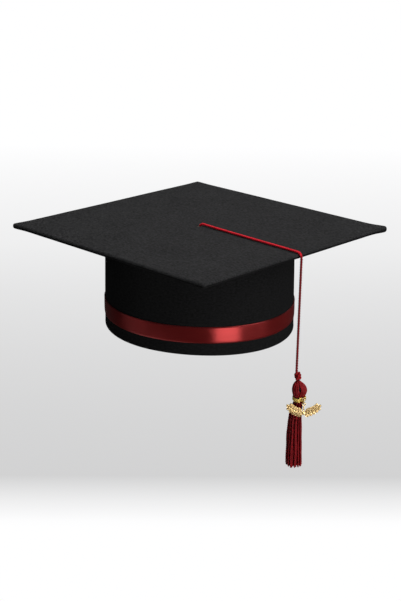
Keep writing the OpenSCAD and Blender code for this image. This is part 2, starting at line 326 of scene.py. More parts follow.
# Painted shade: a near-black yarn for the core deep inside the bulb, standing for the shade there.
BULB_SHADE_CORE = yarn("bulb_core_painted_shade", (0.004, 0.0, 0.0), (0.02, 0.0, 0.001))
SKIRT_YARN = yarn("skirt_yarn", RED_DARK, RED_LIGHT, 7, 1500)
GOLD_YARN = yarn("gold_yarn", (1.0, 0.62, 0.1), (1.0, 0.88, 0.3), 5, 5200, 0.34, 0.0,
                 Metallic=0.55)
GOLD = metal("gold_metal", (0.85, 0.56, 0.2), (1.0, 0.82, 0.42), 0.3)
WIRE = metal("wire_metal", (0.8, 0.58, 0.25), (1.0, 0.85, 0.45), 0.25)
GLITTER = glitter("glitter")
WASHER = plastic("washer_plastic", (0.7, 0.7, 0.68), (0.85, 0.85, 0.83))
CARD = card("card")

# ---- Mesh helpers


class Shape:
    """Closed surfaces that make up one piece."""

    def __init__(self):
        self.points, self.faces, self.lay, self.slots = [], [], [], []

    def skin(self, rows, ring=False, along=None, slot=0):
        """Skins closed loops, row after row. ring joins the last row to the first."""
        rows = np.asarray(rows, float)
        count, cols = rows.shape[:2]
        base = len(self.points)
        self.points.extend(rows.reshape(-1, 3).tolist())
        steps = count if ring else count - 1
        if along is None:
            along = np.arange(steps + 1) * MM
        for i in range(steps):
            a, b = base + i * cols, base + (i + 1) % count * cols
            for j in range(cols):
                k = (j + 1) % cols
                self.faces.append((a + j, a + k, b + k, b + j))
                lo, hi = j / cols, (j + 1) / cols
                self.lay += [(lo, along[i]), (hi, along[i]), (hi, along[i + 1]), (lo, along[i + 1])]
        self.slots += [slot] * (steps * cols)
        if not ring:
            for first in (0, (count - 1) * cols):
                loop = [base + first + j for j in range(cols)]
                self.faces.append(loop[::-1] if first == 0 else loop)
                self.lay += [(j / cols, along[0 if first == 0 else -1]) for j in range(cols)]
                self.slots.append(slot)

    def tube(self, line, radius, sides=8, lobes=0, valley=0.25, pitch=None, hand=-1, slot=0):
        """A tube round a line, with rounded ends. lobes are the plies that show, which turn
        once in each pitch: hand is -1 for an S twist and 1 for a Z twist."""
        line = np.asarray(line, float)
        radius = np.broadcast_to(np.asarray(radius, float), (len(line),))
        ahead, side, up = frames_along(line)
        reach = np.r_[0, np.cumsum(np.linalg.norm(np.diff(line, axis=0), axis=1))]
        caps = np.radians([70, 40])
        first = [(line[0] - ahead[0] * radius[0] * math.sin(a), radius[0] * math.cos(a)) for a in caps]
        last = [(line[-1] + ahead[-1] * radius[-1] * math.sin(a), radius[-1] * math.cos(a))
                for a in caps[::-1]]
        centre = np.array([c for c, _ in first] + list(line) + [c for c, _ in last])
        size = np.array([r for _, r in first] + list(radius) + [r for _, r in last])
        pad = lambda v: np.concatenate([v[:1], v[:1], v, v[-1:], v[-1:]])
        side, up, reach = pad(side), pad(up), pad(reach)
        angle = np.arange(sides) * TAU / sides
        section = np.ones(sides)
        if lobes:
            section = np.sqrt((np.cos(angle * lobes / 2) ** 2 + valley) / (1 + valley))
        turn = hand * TAU * reach / pitch if pitch else np.zeros(len(reach))
        a = angle[None] + turn[:, None]
        out = np.cos(a)[..., None] * side[:, None] + np.sin(a)[..., None] * up[:, None]
        rows = centre[:, None] + out * (size[:, None] * section[None])[..., None]
        self.skin(rows, along=reach, slot=slot)

    def stitch(self, at, along, out, length, width, height):
        """One sewn stitch: a small plump thread that dives at both ends."""
        t = np.linspace(-1, 1, 7)
        line = [at + along * (length / 2 * x) + out * (height * (0.15 - x * x)) for x in t]
        self.tube(np.array(line), width / 2 * (1 - 0.25 * t ** 2), sides=6)


def frames_along(line):
    """The direction at each point of a line, and two directions across it that don't spin."""
    ahead = np.gradient(line, axis=0)
    ahead /= np.linalg.norm(ahead, axis=1)[:, None]
    axis = np.eye(3)[np.argmin(np.abs(ahead[0]))]
    side = np.zeros_like(line)
    for i, d in enumerate(ahead):
        axis = axis - d * (axis @ d)
        axis /= np.linalg.norm(axis)
        side[i] = axis
    return ahead, side, np.cross(ahead, side)


def smooth_line(points, step):
    """A smooth curve through the points, as points step apart."""
    p = np.asarray(points, float)
    p = np.vstack([2 * p[0] - p[1], p, 2 * p[-1] - p[-2]])
    t = np.r_[0, np.cumsum(np.sqrt(np.linalg.norm(np.diff(p, axis=0), axis=1)))]
    fine = []
    for i in range(1, len(p) - 2):
        t0, t1, t2, t3 = t[i - 1:i + 3]
        x = np.linspace(t1, t2, 16, endpoint=False)[:, None]
        a1 = (t1 - x) / (t1 - t0) * p[i - 1] + (x - t0) / (t1 - t0) * p[i]
        a2 = (t2 - x) / (t2 - t1) * p[i] + (x - t1) / (t2 - t1) * p[i + 1]
        a3 = (t3 - x) / (t3 - t2) * p[i + 1] + (x - t2) / (t3 - t2) * p[i + 2]
        b1 = (t2 - x) / (t2 - t0) * a1 + (x - t0) / (t2 - t0) * a2
        b2 = (t3 - x) / (t3 - t1) * a2 + (x - t1) / (t3 - t1) * a3
        fine.append((t2 - x) / (t2 - t1) * b1 + (x - t1) / (t2 - t1) * b2)
    fine = np.vstack(fine + [p[-2][None]])
    s = np.r_[0, np.cumsum(np.linalg.norm(np.diff(fine, axis=0), axis=1))]
    at = np.linspace(0, s[-1], max(2, int(round(s[-1] / step)) + 1))
    return np.stack([np.interp(at, s, fine[:, k]) for k in range(3)], axis=1)


def piece(shape, name, materials, body=None, replaces=()):
    """Makes the object of a shape, its normals outwards, riding on a body if one is given."""
    mesh = bpy.data.meshes.new(name)
    mesh.from_pydata(shape.points, [], shape.faces)
    layer = mesh.uv_layers.new(name="lay")
    layer.data.foreach_set("uv", np.array(shape.lay, np.float32).ravel())
    for material in materials:
        mesh.materials.append(material)
    mesh.polygons.foreach_set("material_index", shape.slots)
    mesh.polygons.foreach_set("use_smooth", [True] * len(shape.faces))
    work = bmesh.new()
    work.from_mesh(mesh)
    bmesh.ops.recalc_face_normals(work, faces=work.faces)
    work.to_mesh(mesh)
    work.free()
    obj = bpy.data.objects.new(name, mesh)
    bpy.context.scene.collection.objects.link(obj)
    if replaces:
        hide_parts(*replaces)
    if body:
        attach(obj, body)
    return obj


def ripples(points, scale, seed):
    """Smooth noise from -1 to 1 at each point, given in metres. scale is in waves a metre."""
    points = np.asarray(points, float)
    shift = Vector((seed * 7.31, seed * 3.17, seed * 5.71))
    flat = [noise.noise(Vector(p) * scale + shift) for p in points.reshape(-1, 3)]
    return np.array(flat).reshape(points.shape[:-1])


def revolve(section, angles, bulge=None):
    """Loops of a section, pairs of (radius, height) in metres, at each angle round Z.
    bulge(angle, section) gives what to add to each radius."""
    section = np.asarray(section, float)
    rows = []
    for a in angles:
        r = section[:, 0] + (bulge(a, section) if bulge else 0)
        rows.append(np.stack([r * math.cos(a), r * math.sin(a), section[:, 1]], axis=1))
    return np.array(rows)


def full_turn(count):
    return BACK + np.arange(count) * TAU / count


def wave_round(a, z, scale, seed):
    """Smooth noise round a cylinder, without a step where it closes."""
    radius = 87 * MM
    at = Vector((math.cos(a) * radius * scale + seed, math.sin(a) * radius * scale, z * scale))
    return noise.noise(at)


# ---- The cord, its knots and the tassel

def add_knot(shape, lo, hi, thick):
    """A tight knot between two corners of a box: the cord winds twice round itself."""
    half = (hi - lo) / 2 - Vector((thick, thick, thick))
    t = np.linspace(0, TAU, 110)
    winding = np.stack([half.x * (np.sin(t) + 2 * np.sin(2 * t)) / 3,
                        half.y * (np.cos(t) - 2 * np.cos(2 * t)) / 3,
                        -half.z * np.sin(3 * t)], axis=1)
    middle = np.array((lo + hi) / 2)
    shape.tube(middle + winding, thick, sides=12, lobes=2, valley=0.5, pitch=4.6 * MM)
    core = [middle + np.array([0, 0, half.z * x]) for x in np.linspace(-1.1, 1.1, 9)]
    shape.tube(core, thick, sides=12)


def make_cord():
    shape = Shape()
    line = smooth_line([on_route(p) for p in ROUTE], 0.45 * MM)
    shape.tube(line, CORD_D * 0.535, sides=14, lobes=2, valley=0.5, pitch=4.6 * MM)
    return piece(shape, "cord", [CORD_YARN], replaces=("cord_lead", "cord_drop"))


def make_anchor_knot():
    """The cord's other end, knotted under the washer."""
    shape = Shape()
    add_knot(shape, *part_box("anchor_knot"), CORD_D * 0.48)
    return piece(shape, "anchor_overhand", [CORD_YARN], "cord_across",
                 ("anchor_knot",))


def make_tassel_knot():
    lo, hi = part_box("cord_knot")
    shape = Shape()
    add_knot(shape, lo, hi, CORD_D * 0.52)
    # The cord comes down the plumb line into the knot, which sits a little to the right
    lead = [(PLUMB.x, PLUMB.y, hi.z + 0.2 * MM), (PLUMB.x + 0.2 * MM, PLUMB.y, hi.z - 0.8 * MM),
            ((lo.x + hi.x) / 2, PLUMB.y, hi.z - 2.4 * MM)]
    shape.tube(smooth_line(lead, 0.3 * MM), CORD_D * 0.48, sides=12)
    return piece(shape, "tassel_knot", [KNOT_YARN], "knot", ("cord_knot",))


def bulb_at(share):
    """The bulb's middle, sideways from the plumb line, and its radius, both in mm."""
    knots = [0, 0.08, 0.2, 0.35, 0.5, 0.65, 0.8, 0.92, 1]
    radius = np.interp(share, knots, [1.7, 2.7, 4.3, 5.8, 6.5, 6.7, 6.3, 5.7, 5.2])
    middle = np.interp(share, knots, [1.6, 1.8, 2.2, 2.8, 3.1, 3.2, 3.1, 2.9, 2.8])
    return middle, radius


def open_slit(angle, share):
    """Draws the yarns apart at the front, where the folded hank leaves a slit."""
    off = (angle + BACK + math.pi) % TAU - math.pi
    gap = 0.2 * np.exp(-((share - 0.5) / 0.2) ** 2)
    return angle + np.where(off < 0, -1, 1) * gap * np.exp(-(off / 0.8) ** 2)


def make_bulb():
    """The head of the tassel: its yarns folded over the cord's two plies."""
    lo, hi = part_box("tassel_bulb")
    rng = random.Random(11)
    shape = Shape()
    height = hi.z - lo.z
    share = np.linspace(0.02, 1, 24)
    middle, radius = bulb_at(share)
    count = 24
    for k in range(count):
        a = TAU * (k + 0.5 + rng.uniform(-0.2, 0.2)) / count - BACK
        girth = np.minimum(0.9, 0.5 * TAU * radius / count) * rng.uniform(0.9, 1.1)
        angle = open_slit(a + 0.04 * np.sin(share * 7 + k), share)
        r = radius - girth + rng.uniform(-0.15, 0.1)
        line = np.stack([
            PLUMB.x / MM + middle + r * np.cos(angle), PLUMB.y / MM + r * np.sin(angle),
            hi.z / MM - height / MM * share,
        ], axis=1)
        shape.tube(line * MM, girth * MM, sides=10)
    # A near-black core inside the yarns: painted shade that shows through the slit.
    angles = np.arange(24) * TAU / 24
    rows = [[(PLUMB.x + (m + 0.72 * r * math.cos(a)) * MM, PLUMB.y + 0.72 * r * math.sin(a) * MM,
              hi.z - height * (0.05 + 0.93 * s)) for a in angles]
            for s, m, r in zip(share, middle, radius)]
    shape.skin(rows, slot=1)
    for side in (-1, 1):
        leg = [(PLUMB.x + (1 + 0.5 * side) * MM, PLUMB.y, hi.z + 0.3 * MM),
               (PLUMB.x + (1 + 1.0 * side) * MM, PLUMB.y - 0.6 * MM, hi.z - 0.8 * MM),
               (PLUMB.x + (1.1 + 1.3 * side) * MM, PLUMB.y - 0.9 * MM, hi.z - 2.2 * MM)]
        shape.tube(smooth_line(leg, 0.3 * MM), 0.62 * MM, sides=8)
    return piece(shape, "bulb_yarns", [SKIRT_YARN, BULB_SHADE_CORE], "tassel",
                 ("tassel_bulb",))


def coil(centre, radius, top, bottom, turns, steps):
    """A helix that starts and ends at the front, in metres, with that many points a turn."""
    t = np.linspace(0, 1, int(turns * steps))
    angle = -BACK + TAU * turns * t
    z = top + (bottom - top) * t
    return np.stack([centre[0] + radius * np.cos(angle), centre[1] + radius * np.sin(angle), z],
                    axis=1)


def make_neck():
    lo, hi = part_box("neck_tie")
    middle = ((lo.x + hi.x) / 2, (lo.y + hi.y) / 2)
    r = (hi.x - lo.x) / 2 + 0.25 * MM
    wire = 0.42 * MM
    turns = int((hi.z - lo.z) / (2 * wire))
    shape = Shape()
    shape.tube(coil(middle, r - wire, hi.z - wire, lo.z + wire, turns, 30), wire, sides=6)
    rows = [[(middle[0] + s * r * math.cos(a), middle[1] + s * r * math.sin(a), z)
             for a in np.arange(20) * TAU / 20]
            for z, s in ((hi.z, 0.6), (hi.z - 0.4 * MM, 0.84), (lo.z + 0.4 * MM, 0.84), (lo.z, 0.6))]
    shape.skin(rows)
    return piece(shape, "neck_thread", [RED_THREAD], "tassel", ("neck_tie",))


WRAP_SHIFT = 3.3 * MM
EYE_SIDE, EYE_FRONT = 3.4 * MM, 6.3 * MM


def make_wrap():
    """Three turns of gold cord and the wire eye at the front, to the right."""
    lo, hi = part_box("gold_wrap")
    x, y = PLUMB.x + WRAP_SHIFT, PLUMB.y
    r, wire = hi.x - x - 0.4 * MM, 0.68 * MM
    shape = Shape()
    line = coil((x, y), r, hi.z - wire, lo.z + wire, 2.99, 60)
    # The turns slope down a little to the right
    line[:, 2] -= (line[:, 0] - x) * 0.05
    shape.tube(line, wire, sides=12, lobes=3, valley=0.9, pitch=3.2 * MM, hand=1)
    eye_at = np.array([x + EYE_SIDE, y - EYE_FRONT, hi.z - (hi.z - lo.z) / 6])
    a = np.linspace(0, TAU, 33)
    eye = eye_at + 1.5 * MM * np.stack([np.sin(a), np.cos(a), np.zeros(33)], axis=1)
    shape.tube(eye, 0.55 * MM, sides=10, slot=1)
    inward = np.array([-EYE_SIDE, EYE_FRONT, 0]) / math.hypot(EYE_SIDE, EYE_FRONT)
    shape.tube([eye_at + inward * (1.4 + 0.25 * i) * MM for i in range(4)], 0.42 * MM,
               sides=10, slot=1)
    return piece(shape, "gold_cord_wrap", [GOLD_YARN, WIRE], "tassel", ("gold_wrap",))


SKIRT_RINGS = [
    (0, 4.6, 3.3), (0.06, 4.9, 2.4), (0.12, 5.3, 1.3), (0.2, 5.8, 0.6), (0.35, 6.5, 0.4),
    (0.5, 7.1, 0.5), (0.65, 7.4, 0.6), (0.8, 7.6, 0.7), (1, 7.7, 0.9),
]


GOLDEN_ANGLE = 2.39996


def make_skirt():
    """The skirt's twisted strands, packed round and cut a little unevenly."""
    lo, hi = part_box("tassel_skirt")
    rng = random.Random(5)
    shape = Shape()
    down, wide, shift = (np.array(c, float) for c in zip(*SKIRT_RINGS))
    count = 44
    for k in range(count):
        spot = math.sqrt((k + 0.5) / count)
        a = k * GOLDEN_ANGLE + rng.uniform(-0.12, 0.12)
        end = 1 - rng.uniform(0, 0.008)
        share = np.linspace(0, end, 124)
        r = np.interp(share, down, wide)
        girth = 0.112 * r * rng.uniform(0.88, 1.05) * (1 + 0.15 * np.clip(share * 12 - 11, 0, 1))
        sway = [rng.uniform(0, TAU) for _ in range(4)]
        size = 0.28 * np.minimum(1, share * 4)
        reach = (r * 1.04 - girth) * spot
        x = PLUMB.x / MM + np.interp(share, down, shift) + reach * math.cos(a) \
            + size * (np.sin(share * 9 + sway[0]) + 0.5 * np.sin(share * 21 + sway[1])) * 0.6
        y = PLUMB.y / MM + reach * math.sin(a) \
            + size * (np.sin(share * 8 + sway[2]) + 0.5 * np.sin(share * 19 + sway[3])) * 0.6
        z = hi.z / MM + (lo.z - hi.z) / MM * share
        shape.tube(np.stack([x, y, z], axis=1) * MM, girth * MM, sides=8, lobes=2,
                   valley=0.35, pitch=rng.uniform(3.4, 4.2) * MM)
    return piece(shape, "skirt_strands", [SKIRT_YARN], "tassel", ("tassel_skirt",))


# ---- The charm: two boughs of laurel


def leaf(shape, root, heading, length, width, thick, y):
    """A domed leaf with a rib down the middle, and a smooth rim round it, in the X-Z plane."""
    ahead = np.array([math.cos(heading), 0, math.sin(heading)])
    side = np.array([-math.sin(heading), 0, math.cos(heading)])
    t = np.linspace(0.03, 0.97, 12)
    half = width / 2 * np.sin(np.pi * t) ** 0.75
    around = [(-1, 0), (-0.6, 0.75), (-0.15, 0.95), (0, 0.6), (0.15, 0.95), (0.6, 0.75), (1, 0),
              (0.6, -0.6), (0, -0.8), (-0.6, -0.6)]
    rows = [[root + ahead * length * s + side * w * u
             + np.array([0, y - thick / 2 * v * (0.35 + 0.65 * w / (width / 2)), 0])
             for u, v in around] for s, w in zip(t, half)]
    shape.skin(rows, slot=0)
    edge = [(s, w) for s, w in zip(t, half)] + [(s, -w) for s, w in zip(t[::-1], half[::-1])]
    rim = np.array([root + ahead * length * s + side * w + np.array([0, y, 0]) for s, w in edge])
    rim = np.vstack([rim, rim[:1]])
    shape.tube(rim, thick * 0.24, sides=6, slot=1)


def make_charm():
    lo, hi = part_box("charm")
    thick, y = hi.y - lo.y, (hi.y + lo.y) / 2
    bend_r, hang, stem = 17 * MM, 8.8 * MM, 0.9 * MM
    loop_z = hi.z - 1.8 * MM
    middle_x = (lo.x + hi.x) / 2
    width = 29.4 * MM
    sweep = math.asin((width / 2 - 2.2 * MM) / bend_r)
    centre_z = loop_z + bend_r - hang
    shape = Shape()
    for side in (1, -1):
        at = lambda a: np.array([
            middle_x + side * bend_r * math.sin(a), 0, centre_z - bend_r * math.cos(a)])
        line = np.array([at(a) + (0, y, 0) for a in np.linspace(0, sweep, 24)])
        shape.tube(line, stem / 2 * np.linspace(1.15, 0.8, 24), sides=8, slot=1)
        for i in range(5):
            a = sweep * (i + 0.45) / 5
            for lean, size in ((50, 6.6 - 0.35 * i), (-50, 4.6 - 0.25 * i)):
                heading = a + math.radians(lean)
                if side < 0:
                    heading = math.pi - heading
                leaf(shape, at(a), heading, size * MM, 2.5 * MM, thick, y)
        tip = sweep if side > 0 else math.pi - sweep
        leaf(shape, at(sweep), tip, 3.6 * MM, 2.3 * MM, thick, y)
    a = np.linspace(0, TAU, 33)
    loop = np.stack([middle_x + 1.4 * MM * np.sin(a), np.full(33, y), loop_z + 1.4 * MM * np.cos(a)],
                    axis=1)
    shape.tube(loop, 0.42 * MM, sides=10, slot=1)
    bar = [(middle_x, y, loop_z - (1.7 + 0.5 * i) * MM) for i in range(15)]
    shape.tube(bar, 0.7 * MM * np.linspace(0.75, 1.1, 15), sides=10, slot=1)
    dome = [(1.55, 0.0), (1.55, 0.3), (1.2, 0.5), (0.6, 0.62), (0.15, 0.65)]
    profile = [(r, -h) for r, h in dome[::-1]] + dome
    rows = [[(middle_x + r * MM * math.cos(b), y - h * MM, loop_z - hang + r * MM * math.sin(b))
             for b in np.arange(24) * TAU / 24] for r, h in profile]
    shape.skin(rows, slot=1)
    return piece(shape, "laurel_charm", [GLITTER, GOLD], "charm", ("charm",))


# ---- The board's covers


def board_outline():
    """The flat part's outline: points in plan, and which way is out at each."""
    points, outs = [], []
    along = SIDE_IN * np.sin(np.linspace(-1, 1, 84) * math.pi / 2)
    for k in range(4):
        a = math.radians(45 + 90 * k)
        n, t = np.array([math.cos(a), math.sin(a)]), np.array([-math.sin(a), math.cos(a)])
        points += [n * SIDE_IN + t * x for x in along[1:-1]]
        outs += [n] * (len(along) - 2)
        for turn in np.radians(np.linspace(0, 90, 9)):
            points.append(n * SIDE_IN + t * SIDE_IN)
            outs.append(np.array([math.cos(a + turn), math.sin(a + turn)]))
    points, outs = np.array(points), np.array(outs)
    return points + outs * CORNER_R, outs


def corner_lump(plan):
    """How far the folded cloth stands up near each corner, in metres."""
    reach = SIDE_IN * math.sqrt(2)
    lump = np.zeros(plan.shape[:-1])
    for a, size in ((0, 0.8), (90, 0.35), (180, 0.3), (270, 0.45)):
        tip = np.array([math.cos(math.radians(a)), math.sin(math.radians(a))]) * reach
        away = np.linalg.norm(plan - tip, axis=-1) / (11 * MM)
        lump += size * MM * np.exp(-away ** 2)
    return lump


def corner_pull(plan):
    """How far the cloth's folded corners reach out past the board at the left and right."""
    reach = SIDE_IN * math.sqrt(2)
    pull = np.zeros_like(plan)
    for way, size in ((1, 2.2), (-1, 1.5)):
        away = np.hypot(plan[..., 0] - way * reach, plan[..., 1]) / (8 * MM)
        pull[..., 0] += way * size * MM * np.exp(-away ** 2)
    return pull


def make_board_cover(name, up, material, cad):
    flat, outs = board_outline()
    ways = flat / np.linalg.norm(flat, axis=1)[:, None]
    ring0 = ways * 2.5 * MM
    plans, heights, insets = [], [], []
    for s in np.linspace(0, 1, 46) ** 1.5:
        plans.append(ring0 + (flat - ring0) * s)
        heights.append(np.full(len(flat), EDGE_R))
        insets.append(0.0)
    for b in np.radians(np.linspace(9, 90, 10)):
        groove = 0.3 * MM if b > 1.5 else 0.1 * MM
        r = EDGE_R - groove
        plans.append(flat + outs * r * math.sin(b))
        heights.append(np.full(len(flat), EDGE_R * math.cos(b)))
        insets.append(b)
    plans, heights = np.array(plans), np.array(heights)
    spot = np.concatenate([plans, np.full(plans.shape[:-1] + (1,), up)], axis=-1)
    lift = (0.1 * ripples(spot, 26, 1) + 0.05 * ripples(spot, 70, 2) - 0.13) * MM
    lift += corner_lump(plans) * 0.8
    dent = np.exp(-(np.linalg.norm(plans, axis=-1) / (3.4 * MM)) ** 2) * 0.45 * MM
    weight = np.cos(np.array(insets))[:, None]
    rows = []
    thick = 0.55 * MM
    for inner in (0, 1):
        t = thick * inner
        shrink = t * np.sin(np.array(insets))[:, None, None]
        plan = plans - np.where(np.array(insets)[:, None, None] > 0, outs[None] * shrink, 0)
        plan = plan + corner_pull(plan)
        z = SEAM_Z + up * ((heights + (lift - dent) * weight) - t * weight)
        layer = np.concatenate([plan, z[..., None]], axis=-1)
        wander = (ripples(spot * (1, 1, 0), 18, 3)[..., None] - 0.6) * 0.14 * MM
        layer[..., :2] += wander * outs[None] * np.sin(np.array(insets))[:, None, None]
        rows.append(layer if inner == 0 else layer[::-1])
    shape = Shape()
    shape.skin(np.concatenate(rows), ring=True)
    return piece(shape, name, [material], "cap", (cad,))


# ---- The crown, its band, lining and ribbon


def near_angle(a, middle, spread):
    """1 at one angle round the crown, falling off smoothly to both sides. In degrees."""
    off = (np.degrees(a) - middle + 180) % 360 - 180
    return np.exp(-(off / spread) ** 2)


def slack(rows, wall=1.0):
    """The cloth stands off the stiffener towards the rim, and hangs lower at the front right.
    wall is 1 where a point is on the outside of the crown."""
    rows = np.array(rows, float)
    a = np.arctan2(rows[..., 1], rows[..., 0])
    r = np.hypot(rows[..., 0], rows[..., 1])
    low = np.clip(1 - rows[..., 2] / CROWN_TOP, 0, 1)
    right, left = near_angle(a, -35, 50), near_angle(a, -138, 26)
    grow = 1 + wall * (2 * right + 0.8 * left) * MM * low / r
    rows[..., :2] *= grow[..., None]
    rows[..., 2] -= 2.8 * MM * right * low
    return rows


def make_crown():
    """One cloth from under the board down to the rim and up inside as the hem."""
    thick = 0.85 * MM
    hem_r = BAND_R + 0.03 * MM
    fold_r = (CROWN_R - hem_r) / 2
    fold_x = CROWN_R - fold_r
    outer = [(CROWN_R, z) for z in np.linspace(CROWN_TOP - 0.05 * MM, fold_r + 0.4 * MM, 40)]
    outer += [(fold_x + fold_r * math.cos(a), fold_r - fold_r * math.sin(a))
              for a in np.radians(np.linspace(0, 180, 9))]
    outer += [(hem_r, z) for z in np.linspace(fold_r + 1 * MM, HEM_TOP, 6)]
    inner = [(hem_r + 0.42 * MM, z) for z in np.linspace(HEM_TOP, fold_r + 0.2 * MM, 6)]
    inner += [(fold_x, 0.86 * MM)]
    inner += [(CROWN_R - thick, z) for z in np.linspace(fold_r + 0.4 * MM,
                                                        CROWN_TOP - 0.05 * MM, 40)]
    section = np.array(outer + inner)
    wall = np.clip((section[:, 0] - BUCKRAM_R) / (CROWN_R - thick - BUCKRAM_R), 0, 1)

    def bulge(a, part):
        up = part[:, 1] / CROWN_TOP
        wave = np.array([wave_round(a, z, 30, 1) for z in part[:, 1]])
        fine = np.array([wave_round(a, z * 0.3, 260, 9) for z in part[:, 1]])
        gather = np.exp(-((1 - up) / 0.035) ** 2)
        rim = np.exp(-(part[:, 1] / (2.6 * MM)) ** 2)
        taper = -0.8 * np.clip(up, 0, 1) ** 2
        return wall * MM * (-0.12 + 0.12 * wave + taper - gather * (0.1 + 0.2 * fine) + 0.12 * rim)

    shape = Shape()
    shape.skin(slack(revolve(section, full_turn(400), bulge), wall), ring=True)
    return piece(shape, "crown_cloth", [SHADED_CROWN_CLOTH], "cap",
                 ("crown_wall", "rim_hem"))


def strip_section(r_in, r_out, lo, hi, crown=0.0, bead=0.0, count=11):
    """The cross-section of a band: flat inside, and raised between its edges outside."""
    t = np.linspace(0, 1, count)
    edge = np.minimum(1, np.minimum(t, 1 - t) * 9)
    ends = np.exp(-(np.minimum(t, 1 - t) / 0.06) ** 2)
    out = r_in + (r_out - r_in - crown) * (0.35 + 0.65 * edge) + crown * np.sin(np.pi * t) \
        + bead * ends
    outer = list(zip(out, lo + (hi - lo) * t))
    return outer + [(r_in, hi), (r_in, (lo + hi) / 2), (r_in, lo)]


def make_ribbon():
    section = strip_section(CROWN_R + 0.03 * MM, RIBBON_R, RIBBON_LO, RIBBON_HI,
                            0.16 * MM, 0.05 * MM, 13)

    def bulge(a, part):
        outside = part[:, 0] > CROWN_R + 0.1 * MM
        wave = np.array([wave_round(a, z, 45, 3) for z in part[:, 1]])
        return np.where(outside, wave * 0.09 * MM, 0)

    shape = Shape()
    shape.skin(slack(revolve(section, full_turn(360), bulge)), ring=True)
    return piece(shape, "ribbon", [SATIN], "cap", ("ribbon_band",))


def make_ribbon_lap():
    """The ribbon's end, folded under and sewn down over its start at the back."""
    section = strip_section(RIBBON_R + 0.06 * MM, LAP_R, RIBBON_LO, RIBBON_HI, 0.1 * MM, 0.04 * MM)
    angles = BACK + np.radians(np.linspace(-7, 7, 30))

    def bulge(a, part):
        ends = math.exp(-((abs(a - BACK) - math.radians(7)) / math.radians(0.7)) ** 2)
        outside = part[:, 0] > RIBBON_R + 0.12 * MM
        return np.where(outside, -0.2 * MM * ends, 0)

    shape = Shape()
    shape.skin(revolve(section, angles, bulge))
    return piece(shape, "ribbon_end", [SATIN_LAP], "cap", ("ribbon_lap",))


def stitches_round(shape, r, z, start, stop, pitch, length, width, height, inward=False):
    """A row of stitches round the crown between two angles from the back, in radians."""
    count = int((stop - start) * r / pitch)
    for i in range(count):
        a = BACK + start + (i + 0.5) * (stop - start) / count
        out = np.array([math.cos(a), math.sin(a), 0]) * (-1 if inward else 1)
        at = np.array([math.cos(a) * r, math.sin(a) * r, z])
        shape.stitch(at, np.array([-math.sin(a), math.cos(a), 0]), out, length, width, height)


def make_ribbon_stitches():
    shape = Shape()
    stitches_round(shape, RIBBON_R - 0.12 * MM, RIBBON_HI - 0.75 * MM, math.radians(8),
                   math.radians(352), 2 * MM, 1.3 * MM, 0.5 * MM, 0.3 * MM)
    a = BACK - math.radians(6.2)
    out = np.array([math.cos(a), math.sin(a), 0])
    for i in range(6):
        z = RIBBON_LO + (RIBBON_HI - RIBBON_LO) * (i + 0.5) / 6
        at = out * (LAP_R - 0.12 * MM) + np.array([0, 0, z])
        shape.stitch(at, np.array([0, 0, 1.0]), out, 1.4 * MM, 0.45 * MM, 0.3 * MM)
    shape.points = slack(shape.points).tolist()
    return piece(shape, "ribbon_sewing", [RED_THREAD], "cap", ("ribbon_stitches",))


def make_crown_sewing():
    shape = Shape()
    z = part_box("crown_seam_stitches")[0].z + 0.4 * MM
    stitches_round(shape, CROWN_R - 0.15 * MM, z, math.radians(3), math.radians(357), 6 * MM,
                   2.6 * MM, 0.5 * MM, 0.35 * MM)
    return piece(shape, "crown_sewing", [BLACK_THREAD], "cap",
                 ("crown_seam_stitches",))


def make_back_seam():
    """The ridge down the back, where the cloth's ends are felled, above and below the ribbon."""
    lo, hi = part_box("back_seam")
    half = math.radians(1.4)
    profile = [(-1, 0.02), (-0.85, 0.28), (-0.45, 0.46), (-0.1, 0.4), (0, 0.16), (0.1, 0.4),
               (0.45, 0.46), (0.85, 0.28), (1, 0.02), (0.5, -0.2), (-0.5, -0.2)]
    shape = Shape()
    for z0, z1 in ((lo.z, RIBBON_LO), (RIBBON_HI, hi.z)):
        rows = []
        for z in np.linspace(z0, z1, max(6, int((z1 - z0) / (2 * MM)))):
            wave = 1 + 0.12 * noise.noise(Vector((0, 0, z * 160)))
            loop = [(BACK + half * x, CROWN_R + h * MM * wave) for x, h in profile]
            rows.append([(r * math.cos(a), r * math.sin(a), z) for a, r in loop])
        shape.skin(rows)
    return piece(shape, "felled_seam", [SHADED_CROWN_CLOTH], "cap", ("back_seam",))


def make_sweatband():
    lo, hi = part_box("sweatband")
    r_in = -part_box("sweatband")[0].x
    inner_r = frame["record"]["mounts"][0]["dims"]["r_mm"] * MM
    t = np.linspace(0, 1, 19)
    edge = np.minimum(1, np.minimum(t, 1 - t) * 14) ** 0.5
    seam = np.exp(-((t - 0.12) / 0.02) ** 2) + np.exp(-((t - 0.88) / 0.02) ** 2)
    inside = inner_r + (r_in - inner_r) * (1 - edge) * 0.7 + seam * 0.22 * MM + 0.02 * MM
    section = list(zip(inside, lo.z + 0.05 * MM + (hi.z - lo.z - 0.05 * MM) * t))
    section += [(r_in - 0.04 * MM, hi.z), (r_in - 0.04 * MM, lo.z + 0.05 * MM)]
    section = np.array(section)

    def bulge(a, part):
        inside = part[:, 0] < r_in - 0.1 * MM
        wave = np.array([wave_round(a, z, 50, 5) for z in part[:, 1]])
        return np.where(inside, 0.07 * MM * (1 + wave), 0)

    shape = Shape()
    shape.skin(revolve(section, full_turn(300), bulge), ring=True)
    return piece(shape, "sweat_tape", [BAND_CLOTH], "cap", ("sweatband",))


def make_band_sewing():
    lo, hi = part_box("sweatband")
    inner_r = frame["record"]["mounts"][0]["dims"]["r_mm"] * MM
    shape = Shape()
    for share in (0.12, 0.88):
        stitches_round(shape, inner_r + 0.28 * MM, lo.z + (hi.z - lo.z) * share, 0, TAU, 3 * MM,
                       2.2 * MM, 0.42 * MM, 0.22 * MM, inward=True)
    return piece(shape, "band_sewing", [BLACK_THREAD], "cap")


